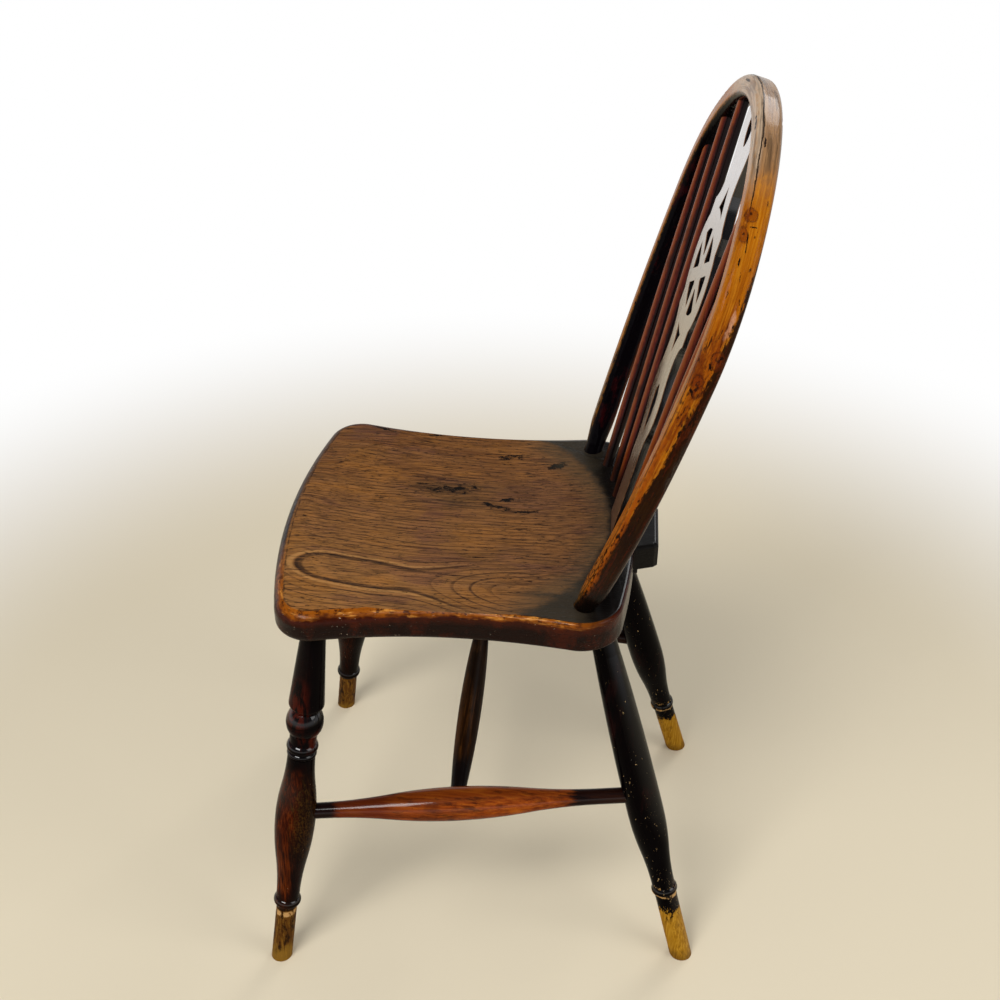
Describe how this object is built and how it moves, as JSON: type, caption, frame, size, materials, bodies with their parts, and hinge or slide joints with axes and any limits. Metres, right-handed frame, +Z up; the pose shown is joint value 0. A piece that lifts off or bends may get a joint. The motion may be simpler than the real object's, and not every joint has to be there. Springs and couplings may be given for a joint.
{
  "type": "wheelback dining chair",
  "caption": "Wooden Windsor side chair with a bent bow back, round sticks, a pierced wheel splat, a waisted hollowed seat with a short tail, and turned splayed legs with stretchers.",
  "frame": {"origin": "on the floor, under the middle of the chair's overall box", "axes": "+Z up; the sitter faces -Y, so the back is towards +Y; +X is the sitter's left"},
  "size_m": [0.4136, 0.451, 0.8768],
  "materials": {
    "seat": "waxed elm board, open pores, worn satin with a darker polished edge",
    "bow": "steam-bent hardwood, amber varnish worn thin, satin",
    "splat": "dark stained board, glossy varnish",
    "sticks": "dark red-brown varnished sticks, glossy",
    "front_legs": "near-black to red-brown varnish over turned hardwood, worn at the foot",
    "rear_legs": "near-black varnish over turned hardwood, feet worn to bare wood",
    "side_stretchers": "red-brown varnished turned hardwood with blackened ends",
    "cross_stretcher": "dull worn grey-brown turned hardwood",
    "wedges": "plain hardwood wedge"
  },
  "bodies": {
    "root": {"seat": "seat", "bow": "bow", "bow_wedge_left": "wedges", "bow_wedge_right": "wedges", "splat": "splat", "stick_inner_left": "sticks", "stick_middle_left": "sticks", "stick_outer_left": "sticks", "stick_inner_right": "sticks", "stick_middle_right": "sticks", "stick_outer_right": "sticks", "front_leg_left": "front_legs", "front_leg_right": "front_legs", "rear_leg_left": "rear_legs", "rear_leg_right": "rear_legs", "side_stretcher_left": "side_stretchers", "side_stretcher_right": "side_stretchers", "cross_stretcher": "cross_stretcher"}
  },
  "joints": []
}
